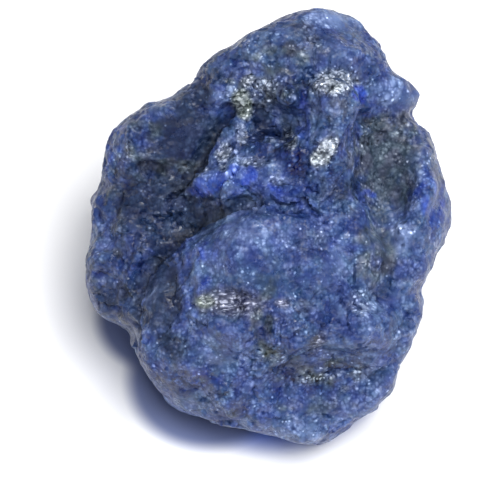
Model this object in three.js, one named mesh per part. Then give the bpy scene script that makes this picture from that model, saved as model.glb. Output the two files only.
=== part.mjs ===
// Rough sapphire: one broken, granular lump of blue corundum, as it comes out of the ground.
// Millimetres, +Z up. It stands on a small fracture face at z = 0, and the origin is the middle
// of its box at that height. Its broken show face looks towards -Y and up.
//
// The stone is described in a face frame: u runs across the show face, v up it and w out of it.
// Faceted lumps are joined, hollows and grooves are taken away, the rim is trimmed to the
// stone's outline, and a triangle net is laid over the surface and roughened with crumbs.

import * as THREE from "three";
import { ImprovedNoise } from "three/addons/math/ImprovedNoise.js";

// Driving dimensions.
const FACE_LEAN = 40; // degrees that the show face's normal leans from straight up towards -Y
const BASE_DEPTH = 11.4; // from the face frame's origin straight down to the resting face
const NET_CELL = 0.84; // spacing of the triangle net over the surface
const CRUMB_SIZE = 2.4; // spacing of the crumbly grains
const CRUMB_HEIGHT = 0.25;
const SWELL_LENGTH = 5.5; // wavelength of the slow unevenness
const SWELL_HEIGHT = 0.6;
const BLOCK_COUNT = 150; // small broken blocks all over the stone
const BLOCK_SIZE = [1.3, 2.7]; // their half sizes, least and most
const BLOCK_SUNK = [0.66, 0.93]; // how deep they sit as a share of that, at the back and in front
const RIM_ROUND = 0.9; // how softly the rim is trimmed to the outline

// The rim of the stone as it is seen along the show face's normal, in u and v.
const OUTLINE = [
  [3.3, 15.2], [1.0, 14.7], [-1.1, 14.0], [-2.9, 12.6], [-4.3, 11.3], [-5.7, 9.7], [-7.6, 9.1],
  [-9.6, 7.7], [-11.0, 6.6], [-11.4, 5.3], [-11.6, 3.8], [-12.4, 2.0], [-12.4, -0.6],
  [-12.8, -3.2], [-12.5, -5.0], [-11.6, -6.4], [-9.7, -7.3], [-9.4, -8.7], [-8.4, -10.2],
  [-7.2, -12.2], [-5.5, -13.1], [-2.3, -14.0], [0.5, -14.6], [2.9, -15.2], [4.2, -15.1],
  [6.9, -12.9], [8.6, -11.4], [9.0, -9.8], [9.9, -8.2], [10.9, -6.0], [10.9, -4.8],
  [10.3, -4.1], [11.7, -2.0], [12.6, -0.7], [12.8, 1.0], [12.4, 3.1], [11.5, 5.4],
  [10.4, 7.6], [10.0, 8.2], [10.6, 9.1], [9.8, 10.2], [8.5, 10.8], [8.3, 12.0],
  [7.4, 13.2], [6.3, 14.3], [4.9, 15.0],
];

// Convex, faceted lumps: centre and half sizes in the face frame, then a turn in degrees about
// u, v and w. join is the reach of the crease where a lump meets the rest.
const LUMPS = [
  { name: "core", at: [0.2, -0.4, -3.9], half: [12.4, 13.4, 7.7], turn: [0, 0, 0], join: 1.0 },
  { name: "underside", at: [0.4, -4.6, -7.6], half: [9.0, 8.6, 6.2], turn: [0, 0, 10], join: 1.4 },
  { name: "rear", at: [1.2, 5.0, -6.0], half: [8.8, 8.6, 6.4], turn: [0, 0, -20], join: 1.4 },
  { name: "front body", at: [1.0, -7.0, -1.2], half: [9.7, 8.5, 6.4], turn: [0, 0, 12], join: 0.6 },
  { name: "front upper plate", at: [-0.4, -2.2, 2.0], half: [6.4, 3.8, 3.9], turn: [8, 4, -4], join: 0.3 },
  { name: "front middle", at: [1.6, -6.4, 1.8], half: [5.6, 5.0, 4.6], turn: [0, 0, 20], join: 0.5 },
  { name: "lower left block", at: [-3.6, -8.9, 1.2], half: [4.3, 4.3, 4.2], turn: [0, -10, 10], join: 0.3 },
  { name: "lower right block", at: [5.6, -8.0, 0.6], half: [4.6, 4.6, 4.6], turn: [0, 12, -18], join: 0.4 },
  { name: "toe", at: [1.6, -12.0, -0.6], half: [6.0, 3.6, 4.4], turn: [-14, 0, -6], join: 0.4 },
  { name: "left shoulder", at: [-7.1, -7.0, -0.6], half: [2.7, 5.2, 4.0], turn: [0, -10, 14], join: 0.4 },
  { name: "right cheek", at: [8.2, -6.4, -0.8], half: [3.3, 3.8, 4.2], turn: [0, 14, -14], join: 0.4 },
  { name: "right lip", at: [9.9, -5.2, -1.0], half: [1.5, 2.2, 2.2], turn: [0, 0, -12], join: 0.3 },
  { name: "left wing", at: [-8.6, 0.6, -3.6], half: [5.0, 7.8, 4.8], turn: [0, -8, 4], join: 0.5 },
  { name: "left wing top", at: [-6.8, 6.0, -2.4], half: [5.8, 3.8, 4.8], turn: [0, -16, 26], join: 0.4 },
  { name: "left wing foot", at: [-10.6, -3.8, -3.0], half: [3.0, 4.2, 3.6], turn: [0, -14, -8], join: 0.5 },
  { name: "summit", at: [3.0, 10.2, -2.4], half: [6.9, 5.9, 6.0], turn: [10, 0, 12], join: 0.6 },
  { name: "summit left", at: [-2.0, 9.8, -2.2], half: [4.8, 4.2, 5.2], turn: [8, -10, 30], join: 0.5 },
  { name: "step flank", at: [-2.1, 5.6, 0.7], half: [1.9, 4.2, 3.6], turn: [0, -6, -33], join: 0.3 },
  { name: "step sill", at: [-1.8, 4.0, 0.6], half: [4.6, 2.4, 3.5], turn: [24, -6, -3], join: 0.3 },
  { name: "sill grain", at: [0.5, 3.0, 3.4], half: [1.0, 1.0, 0.9], turn: [0, 0, 0], join: 0.3 },
  { name: "ledge grain", at: [-3.2, 9.0, 2.6], half: [1.1, 1.0, 0.9], turn: [0, 0, 0], join: 0.3 },
  { name: "plate crown", at: [-1.2, -0.6, 4.6], half: [2.6, 1.9, 1.5], turn: [0, 0, 0], join: 0.5 },
  { name: "left toe grain", at: [-8.6, -8.0, 0.6], half: [1.2, 1.5, 1.6], turn: [0, 0, 10], join: 0.3 },
  { name: "middle post", at: [4.6, 5.0, 0.8], half: [2.3, 3.6, 4.4], turn: [0, 0, -12], join: 0.3 },
  { name: "upper post", at: [4.9, 9.8, -0.1], half: [2.5, 1.8, 3.8], turn: [10, 0, 6], join: 0.3 },
  { name: "saddle", at: [4.8, 1.2, 0.4], half: [4.4, 3.4, 4.1], turn: [0, 0, 0], join: 0.6 },
  { name: "right bulge", at: [9.5, 2.0, -2.6], half: [3.8, 6.6, 5.2], turn: [0, 14, 14], join: 0.5 },
  { name: "right knob", at: [8.2, 9.4, -0.8], half: [3.0, 1.7, 2.6], turn: [0, 0, -6], join: 0.3 },
];

// Rounded hollows sunk into the show face: centre in u and v, half sizes and depth.
const HOLLOWS = [
  { name: "wing hollow", at: [-7.8, 1.4], half: [3.6, 2.8, 2.6], depth: 1.3, join: 0.6 },
  { name: "cavity under the summit", at: [0.1, 6.8], half: [2.4, 1.6, 2.0], depth: 1.1, join: 0.4 },
  { name: "matrix hollow", at: [8.2, 4.4], half: [2.2, 4.6, 2.0], depth: 0.6, join: 0.8 },
  { name: "wing facet", at: [-6.6, 6.3], half: [6.0, 3.4, 3.0], depth: 0.6, join: 0.6 },
  { name: "front left facet", at: [-7.2, -4.6], half: [2.6, 4.6, 3.0], depth: 0.4, join: 0.6 },
  { name: "lower right facet", at: [4.6, -12.0], half: [6.0, 3.6, 3.0], depth: 0.5, join: 0.6 },
  { name: "under the knob", at: [9.0, 7.5], half: [3.0, 0.8, 1.2], depth: 0.8, join: 0.3 },
];

// Grooves cut into the show face along a run of points in u and v.
const GROOVES = [
  {
    name: "valley", width: 0.8, depth: 0.8, join: 0.4,
    path: [[2.0, 1.9], [-1.8, 1.5], [-4.9, 0.2], [-7.3, -1.8]],
  },
  {
    name: "valley foot", width: 0.9, depth: 1.2, join: 0.4,
    path: [[-7.3, -1.6], [-8.7, -3.8], [-9.3, -6.8]],
  },
  {
    name: "wing cleft", width: 0.7, depth: 1.3, join: 0.3,
    path: [[-3.0, 7.8], [-4.6, 5.3], [-6.2, 3.7], [-8.6, 3.9]],
  },
  {
    name: "post cleft", width: 0.6, depth: 1.0, join: 0.3,
    path: [[2.6, 10.4], [2.5, 7.0], [2.6, 4.0]],
  },
  {
    name: "plate edge", width: 0.7, depth: 0.7, join: 0.4,
    path: [[-7.2, -3.6], [-5.4, -5.2], [-2.4, -5.7]],
  },
  {
    name: "vein", width: 0.6, depth: 0.35, join: 0.3,
    path: [[-0.9, -1.7], [0.1, -4.5], [-0.2, -9.0], [5.4, -9.7]],
  },
];

const radians = THREE.MathUtils.degToRad;
const noise = new ImprovedNoise();

// The face frame's axes in the part's own frame.
const lean = radians(FACE_LEAN);
const UP_FACE = [0, Math.cos(lean), Math.sin(lean)];
const OUT_OF_FACE = [0, -Math.sin(lean), Math.cos(lean)];

/** A point of the part's frame, given in the face frame. The face frame's origin is BASE_DEPTH up. */
function inFace(p) {
  const z = p[2] - BASE_DEPTH;
  return [
    p[0],
    p[1] * UP_FACE[1] + z * UP_FACE[2],
    p[1] * OUT_OF_FACE[1] + z * OUT_OF_FACE[2],
  ];
}

/** Random numbers from 0 to 1 that are the same on every run. */
function seeded(seed) {
  let state = Math.imul(seed | 0, 2654435761);
  return () => {
    state = (state + 0x6d2b79f5) | 0;
    let t = Math.imul(state ^ (state >>> 15), 1 | state);
    t = (t + Math.imul(t ^ (t >>> 7), 61 | t)) ^ t;
    return ((t ^ (t >>> 14)) >>> 0) / 4294967296;
  };
}

function softMin(a, b, reach) {
  const h = Math.max(reach - Math.abs(a - b), 0) / reach;
  return Math.min(a, b) - (h * h * reach) / 4;
}

function softMax(a, b, reach) {
  return -softMin(-a, -b, reach);
}

/** Directions spread evenly over a sphere. */
function spreadDirections(count) {
  return Array.from({ length: count }, (_, i) => {
    const height = 1 - (2 * (i + 0.5)) / count;
    const angle = i * Math.PI * (3 - Math.sqrt(5));
    const ring = Math.sqrt(1 - height * height);
    return new THREE.Vector3(ring * Math.cos(angle), ring * Math.sin(angle), height);
  });
}

const FACETS = 16; // planes that bound each lump
const FACET_JITTER = 0.6;
const FACET_EDGE = 0.03; // roundness of the edges between them, as a share of the lump's size

/** The planes that bound a lump: directions disturbed from an even spread, each with its distance. */
function facetPlanes(seed) {
  const random = seeded(seed);
  return spreadDirections(FACETS).map((normal) => {
    const jitter = new THREE.Vector3(random() - 0.5, random() - 0.5, random() - 0.5);
    normal.addScaledVector(jitter, FACET_JITTER).normalize();
    return [normal.x, normal.y, normal.z, 0.86 + 0.12 * random()];
  });
}

/** Takes a face-frame point to a lump's or hollow's own axes, where its half sizes are 1. */
function ownAxes({ at, half, turn }) {
  const m = new THREE.Matrix4()
    .makeRotationFromEuler(new THREE.Euler(...turn.map(radians), "ZYX"))
    .scale(new THREE.Vector3(...half))
    .setPosition(...at)
    .invert().elements;
  return ([u, v, w]) => [
    m[0] * u + m[4] * v + m[8] * w + m[12],
    m[1] * u + m[5] * v + m[9] * w + m[13],
    m[2] * u + m[6] * v + m[10] * w + m[14],
  ];
}

/** A faceted lump as a function that gives the distance from a face-frame point to its surface. */
function lumpField(lump, seed) {
  const planes = facetPlanes(seed);
  const own = ownAxes(lump);
  const size = Math.min(...lump.half);
  return (f) => {
    const [a, b, c] = own(f);
    const away = Math.sqrt(a * a + b * b + c * c);
    if (away > 1.7) return (away - 1) * size;
    let sum = 0;
    for (const [x, y, z, h] of planes) sum += Math.exp((a * x + b * y + c * z - h) / FACET_EDGE);
    return FACET_EDGE * Math.log(sum) * size;
  };
}

/** How far out of the face a field's surface lies at a place in u and v. */
function heightAt(field, u, v) {
  const STEP = 0.1;
  let w = 14;
  while (w > -14 && field([u, v, w]) > 0) w -= STEP;
  return w;
}

/** A plain ellipsoid sunk to its depth below a field's surface. */
function hollowField(field, { at: [u, v], half, depth }) {
  const w = heightAt(field, u, v) + half[2] - depth;
  const size = Math.min(...half);
  return (f) => (Math.hypot((f[0] - u) / half[0], (f[1] - v) / half[1], (f[2] - w) / half[2]) - 1) * size;
}

/** A groove's centre line in the face frame, sunk so that its bottom is depth below the surface. */
function sunkPath(field, { path, width, depth }) {
  const STRETCH = 1.2;
  const line = [];
  for (let i = 0; i + 1 < path.length; i++) {
    const [[u0, v0], [u1, v1]] = [path[i], path[i + 1]];
    const count = Math.ceil(Math.hypot(u1 - u0, v1 - v0) / STRETCH);
    for (let k = 0; k < count; k++) line.push([u0 + ((u1 - u0) * k) / count, v0 + ((v1 - v0) * k) / count]);
  }
  line.push(path.at(-1));
  return line.map(([u, v]) => [u, v, heightAt(field, u, v) + width - depth]);
}

/** The distance from a face-frame point to a run of straight stretches. */
function pathDistance(f, path) {
  let nearest = Infinity;
  for (let i = 0; i + 1 < path.length; i++) {
    const [a, b] = [path[i], path[i + 1]];
    const d = [b[0] - a[0], b[1] - a[1], b[2] - a[2]];
    const e = [f[0] - a[0], f[1] - a[1], f[2] - a[2]];
    const along = (e[0] * d[0] + e[1] * d[1] + e[2] * d[2]) / (d[0] * d[0] + d[1] * d[1] + d[2] * d[2]);
    const t = Math.min(1, Math.max(0, along));
    nearest = Math.min(nearest, Math.hypot(e[0] - t * d[0], e[1] - t * d[1], e[2] - t * d[2]));
  }
  return nearest;
}

/** The signed distance in u and v to the stone's outline, negative inside. */
function outlineField() {
  const curve = new THREE.CatmullRomCurve3(
    OUTLINE.map(([u, v]) => new THREE.Vector3(u, v, 0)), true, "centripetal");
  const loop = curve.getPoints(2 * OUTLINE.length).map((p) => [p.x, p.y]);
  return (f) => {
    let nearest = Infinity;
    let inside = false;
    for (let i = 0; i + 1 < loop.length; i++) {
      const [ax, ay] = loop[i];
      const [bx, by] = loop[i + 1];
      const [dx, dy, ex, ey] = [bx - ax, by - ay, f[0] - ax, f[1] - ay];
      const t = Math.min(1, Math.max(0, (ex * dx + ey * dy) / (dx * dx + dy * dy)));
      nearest = Math.min(nearest, (ex - t * dx) ** 2 + (ey - t * dy) ** 2);
      if (ay > f[1] !== by > f[1] && f[0] < ax + (dx * (f[1] - ay)) / dy) inside = !inside;
    }
    return inside ? -Math.sqrt(nearest) : Math.sqrt(nearest);
  };
}

/** Crumbly grains: 0 in the creases between neighbouring cells and 1 on their tops. */
function crumbs(p, size) {
  const cell = p.map((x) => Math.floor(x / size));
  let [first, second] = [Infinity, Infinity];
  for (let i = -1; i <= 1; i++)
    for (let j = -1; j <= 1; j++)
      for (let k = -1; k <= 1; k++) {
        const [x, y, z] = [cell[0] + i, cell[1] + j, cell[2] + k];
        const random = seeded(x * 7307 + y * 17929 + z * 28373 + 11);
        const d = Math.hypot(
          (x + random()) * size - p[0], (y + random()) * size - p[1], (z + random()) * size - p[2]);
        if (d < first) [first, second] = [d, first];
        else if (d < second) second = d;
      }
  return Math.min(1, (second - first) / (0.45 * size));
}

/** Slow unevenness that pushes a point about, so that no lump stays regular. */
function swell(p) {
  const [x, y, z] = p.map((c) => c / SWELL_LENGTH);
  return [
    p[0] + SWELL_HEIGHT * noise.noise(x, y, z + 7.3),
    p[1] + SWELL_HEIGHT * noise.noise(x + 31.7, y, z),
    p[2] + SWELL_HEIGHT * noise.noise(x, y + 17.9, z),
  ];
}

/** Lumps, hollows and grooves put together, trimmed to the outline and to the resting face. */
function stoneField(extraLumps) {
  const lumps = [...LUMPS, ...extraLumps].map((lump, i) => ({ ...lump, field: lumpField(lump, i + 1) }));
  const joined = (f) => {
    let d = Infinity;
    for (const { at, half, field, join } of lumps) {
      const clear = Math.hypot(f[0] - at[0], f[1] - at[1], f[2] - at[2]) - 1.2 * Math.max(...half);
      if (clear < d + join) d = softMin(d, field(f), join);
    }
    return d;
  };
  const hollows = HOLLOWS.map((hollow) => ({ ...hollow, field: hollowField(joined, hollow) }));
  const grooves = GROOVES.map((groove) => ({ ...groove, line: sunkPath(joined, groove) }));
  const rim = outlineField();
  return (p) => {
    const f = inFace(swell(p));
    let d = joined(f);
    for (const { field, join } of hollows) d = softMax(d, -field(f), join);
    for (const { line, width, join } of grooves) d = softMax(d, width - pathDistance(f, line), join);
    if (d < 3) d = softMax(d, rim(inFace(p)), RIM_ROUND);
    return Math.max(d, -p[2]);
  };
}

/** The outermost point of the surface along a ray from the centre. */
function surfacePoint(field, centre, way) {
  const START = 24;
  const STEP = 0.3;
  const at = (r) => [centre[0] + way.x * r, centre[1] + way.y * r, centre[2] + way.z * r];
  let far = START;
  while (far > STEP && field(at(far)) > 0) far -= STEP;
  let [low, high] = [far, far + STEP];
  for (let k = 0; k < 10; k++) {
    const middle = (low + high) / 2;
    if (field(at(middle)) > 0) high = middle;
    else low = middle;
  }
  return at(low);
}

/** Small faceted blocks sunk all over the surface of a field, deeper on the show face. */
function brokenBlocks(field) {
  const random = seeded(77);
  return spreadDirections(BLOCK_COUNT).map((way) => {
    const half = [0, 1, 2].map(() => BLOCK_SIZE[0] + (BLOCK_SIZE[1] - BLOCK_SIZE[0]) * random());
    const showing = THREE.MathUtils.smoothstep(way.dot(new THREE.Vector3(...OUT_OF_FACE)), 0, 0.6);
    const depth = (BLOCK_SUNK[0] + (BLOCK_SUNK[1] - BLOCK_SUNK[0]) * showing) * Math.min(...half);
    const [x, y, z] = surfacePoint(field, [0, 0, BASE_DEPTH], way);
    const at = inFace([x - depth * way.x, y - depth * way.y, z - depth * way.z]);
    return { at, half, turn: [360 * random(), 360 * random(), 360 * random()], join: 0.6 };
  });
}

/** The slope of a field at a point, and its value there. */
function slopeOf(field, p) {
  const NUDGE = 0.06;
  const d = field(p);
  const slope = [0, 1, 2].map((c) => {
    const q = [...p];
    q[c] += NUDGE;
    return (field(q) - d) / NUDGE;
  });
  return { d, slope };
}

/** Moves a point onto the surface along the field's slope. */
function settle(field, p) {
  const { d, slope } = slopeOf(field, p);
  const steep = Math.max(0.4, slope[0] ** 2 + slope[1] ** 2 + slope[2] ** 2);
  const move = Math.max(-0.6, Math.min(0.6, d)) / steep;
  return p.map((x, c) => x - move * slope[c]);
}

/** Fills grid corners so that no two pieces of the solid touch only at an edge or at a corner. */
function plugPinches(values, [right, back, up]) {
  const FILLED = -1e-3;
  const far = right + back + up;
  const fill = (corners) => {
    const empty = corners.filter((n) => values[n] > 0);
    values[empty.reduce((a, b) => (values[a] < values[b] ? a : b))] = FILLED;
  };
  let pinched = true;
  while (pinched) {
    pinched = false;
    for (let n = 0; n + far < values.length; n++) {
      for (const [p, q] of [[right, back], [back, up], [up, right]]) {
        const ring = [n, n + p, n + p + q, n + q];
        const [a, b, c, d] = ring.map((m) => values[m] > 0);
        if (a !== c || b !== d || a === b) continue;
        fill(ring);
        pinched = true;
      }
      const cube = [0, right, back, up, far - up, far - back, far - right, far].map((m) => n + m);
      const empty = cube.filter((m) => values[m] > 0);
      const pair = empty.length === 2 ? empty : cube.filter((m) => values[m] <= 0);
      if (pair.length !== 2 || pair[0] + pair[1] !== 2 * n + far) continue;
      fill(cube);
      pinched = true;
    }
  }
}

/** A net over the surface where field is 0, with one point in each cell of a grid that it crosses. */
function surfaceNet(field, box, cell) {
  const corners = box.getSize(new THREE.Vector3()).divideScalar(cell).ceil().addScalar(1);
  const [nx, ny, nz] = corners.toArray();
  const number = (i, j, k) => (k * ny + j) * nx + i;
  const corner = (i, j, k) => [box.min.x + i * cell, box.min.y + j * cell, box.min.z + k * cell];
  const values = new Float64Array(nx * ny * nz);
  for (let k = 0; k < nz; k++)
    for (let j = 0; j < ny; j++)
      for (let i = 0; i < nx; i++) values[number(i, j, k)] = field(corner(i, j, k));
  plugPinches(values, [1, nx, nx * ny]);

  // The twelve edges of a cell, each from one corner along an axis.
  const AXES = [[1, 0, 0], [0, 1, 0], [0, 0, 1]];
  const edges = AXES.flatMap((way, axis) =>
    [0, 1].flatMap((a) => [0, 1].map((b) => {
      const from = [a, b];
      from.splice(axis, 0, 0);
      return { from, way };
    })));
  const points = [];
  const pointOf = new Map();
  for (let k = 0; k + 1 < nz; k++)
    for (let j = 0; j + 1 < ny; j++)
      for (let i = 0; i + 1 < nx; i++) {
        const crossings = [];
        for (const { from: [a, b, c], way: [x, y, z] } of edges) {
          const start = values[number(i + a, j + b, k + c)];
          const end = values[number(i + a + x, j + b + y, k + c + z)];
          if (start > 0 === end > 0) continue;
          const t = start / (start - end);
          crossings.push(corner(i + a + t * x, j + b + t * y, k + c + t * z));
        }
        if (crossings.length === 0) continue;
        pointOf.set(number(i, j, k), points.length);
        points.push([0, 1, 2].map((c) => crossings.reduce((sum, p) => sum + p[c], 0) / crossings.length));
      }

  // Four cells meet at each crossed grid edge, and their points make two triangles.
  const triangles = [];
  const apart = (m, n) => Math.hypot(...points[m].map((x, c) => x - points[n][c]));
  for (let k = 1; k + 1 < nz; k++)
    for (let j = 1; j + 1 < ny; j++)
      for (let i = 1; i + 1 < nx; i++)
        AXES.forEach((way, axis) => {
          const start = values[number(i, j, k)] > 0;
          if (start === values[number(i + way[0], j + way[1], k + way[2])] > 0) return;
          const [p, q] = [AXES[(axis + 1) % 3], AXES[(axis + 2) % 3]];
          const ring = [[0, 0], [1, 0], [1, 1], [0, 1]].map(([a, b]) =>
            pointOf.get(number(i - a * p[0] - b * q[0], j - a * p[1] - b * q[1], k - a * p[2] - b * q[2])));
          const [a, b, c, d] = start ? ring.reverse() : ring;
          if (apart(a, c) < apart(b, d)) triangles.push([a, b, c], [a, c, d]);
          else triangles.push([a, b, d], [b, c, d]);
        });
  return { points, triangles };
}

/** Evens out the spacing of a net's points over the surface of a field. */
function relaxed(field, { points, triangles }, rounds) {
  const SHARE = 0.5; // how far a point goes towards the mean of its neighbours
  const neighbours = points.map(() => new Set());
  for (const [a, b, c] of triangles) {
    neighbours[a].add(b).add(c);
    neighbours[b].add(c).add(a);
    neighbours[c].add(a).add(b);
  }
  for (let round = 0; round < rounds; round++)
    points = points.map((p, i) => {
      const mean = [0, 0, 0];
      for (const j of neighbours[i])
        for (let c = 0; c < 3; c++) mean[c] += points[j][c] / neighbours[i].size;
      return settle(field, p.map((x, c) => x + SHARE * (mean[c] - x)));
    });
  return points;
}

/** Pushes a surface point in or out by its crumb, in patches, and not near the resting face. */
function roughened(field, p) {
  const { slope } = slopeOf(field, p);
  const length = Math.hypot(...slope) || 1;
  const clear = THREE.MathUtils.smoothstep(p[2], 0.3, 1.5);
  const [x, y, z] = p.map((c) => c / SWELL_LENGTH);
  const crumbly = THREE.MathUtils.smoothstep(noise.noise(x + 3.1, y, z), -0.25, 0.25);
  const push = CRUMB_HEIGHT * clear * crumbly * (crumbs(p, CRUMB_SIZE) - 0.6);
  return p.map((x, c) => x + (push * slope[c]) / length);
}

function stone() {
  const LEVEL = 0.15; // a point this close to the resting face lies in it
  const ROUNDS = 3;
  const field = stoneField(brokenBlocks(stoneField([])));
  const room = new THREE.Box3(
    new THREE.Vector3(-15, -15, -1.5 * NET_CELL), new THREE.Vector3(15, 19, 25));
  const net = surfaceNet(field, room, NET_CELL);
  const points = relaxed(field, net, ROUNDS).map((p) => roughened(field, p));
  const shape = new THREE.BufferGeometry();
  shape.setAttribute("position", new THREE.Float32BufferAttribute(
    points.flatMap(([x, y, z]) => [x, y, z < LEVEL ? 0 : z]), 3));
  shape.setIndex(net.triangles.flat());
  shape.computeBoundingBox();
  const box = shape.boundingBox;
  const mesh = new THREE.Mesh(
    shape, new THREE.MeshStandardMaterial({ color: 0x3a4a80, roughness: 0.45, metalness: 0 }));
  mesh.name = "stone";
  mesh.position.set(-(box.min.x + box.max.x) / 2, -(box.min.y + box.max.y) / 2, 0);
  return mesh;
}

const part = new THREE.Group();
part.add(stone());
export default part;
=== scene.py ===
"""Rough sapphire: dresses the solid of a broken blue corundum lump in crystals and colours."""

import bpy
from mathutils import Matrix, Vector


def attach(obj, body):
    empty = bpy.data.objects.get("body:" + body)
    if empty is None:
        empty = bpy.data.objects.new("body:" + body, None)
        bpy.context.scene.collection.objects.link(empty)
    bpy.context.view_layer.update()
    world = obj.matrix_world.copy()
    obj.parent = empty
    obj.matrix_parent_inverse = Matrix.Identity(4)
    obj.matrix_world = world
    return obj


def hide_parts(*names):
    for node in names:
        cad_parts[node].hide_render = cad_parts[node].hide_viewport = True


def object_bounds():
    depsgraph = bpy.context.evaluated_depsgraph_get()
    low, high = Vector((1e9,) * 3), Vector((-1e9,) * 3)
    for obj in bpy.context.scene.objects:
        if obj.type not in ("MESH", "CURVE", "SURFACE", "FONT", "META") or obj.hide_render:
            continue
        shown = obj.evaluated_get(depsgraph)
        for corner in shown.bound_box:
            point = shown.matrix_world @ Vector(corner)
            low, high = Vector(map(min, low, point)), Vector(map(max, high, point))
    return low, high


bl_info = {
    "name": "Rough Sapphire",
    "version": (1, 0, 0),
    "blender": (4, 5, 0),
    "location": "View3D > Sidebar > Sapphire",
    "description": "A rough, granular sapphire on a pale floor under studio light",
    "category": "Add Mesh",
}

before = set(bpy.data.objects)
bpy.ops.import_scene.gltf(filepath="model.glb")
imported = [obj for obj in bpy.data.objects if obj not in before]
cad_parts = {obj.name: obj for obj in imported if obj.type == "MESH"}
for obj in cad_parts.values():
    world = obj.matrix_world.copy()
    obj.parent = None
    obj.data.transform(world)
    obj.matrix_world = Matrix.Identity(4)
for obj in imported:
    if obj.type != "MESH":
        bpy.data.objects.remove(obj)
CAD_BOX = [list(corner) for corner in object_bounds()]

import math

import bpy
import numpy as np
from bpy.props import FloatProperty, FloatVectorProperty, IntProperty, PointerProperty
from mathutils import Vector, noise
from mathutils.kdtree import KDTree

MM = 0.001
STONE_NODE = "stone"
TRIANGLE_LIMIT = 200_000
SMOOTHED_OFF = 0.07 * MM  # what smoothing takes off, and the crystals put back

# The show face's own axes: U across it, V up it and W out of it, from a point inside the stone.
FACE_LEAN = math.radians(40)
FACE_U = np.array([1.0, 0.0, 0.0])
FACE_V = np.array([0.0, math.cos(FACE_LEAN), math.sin(FACE_LEAN)])
FACE_W = np.array([0.0, -math.sin(FACE_LEAN), math.cos(FACE_LEAN)])
FACE_ORIGIN = np.array([-0.05, -1.41, 11.4]) * MM

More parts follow.
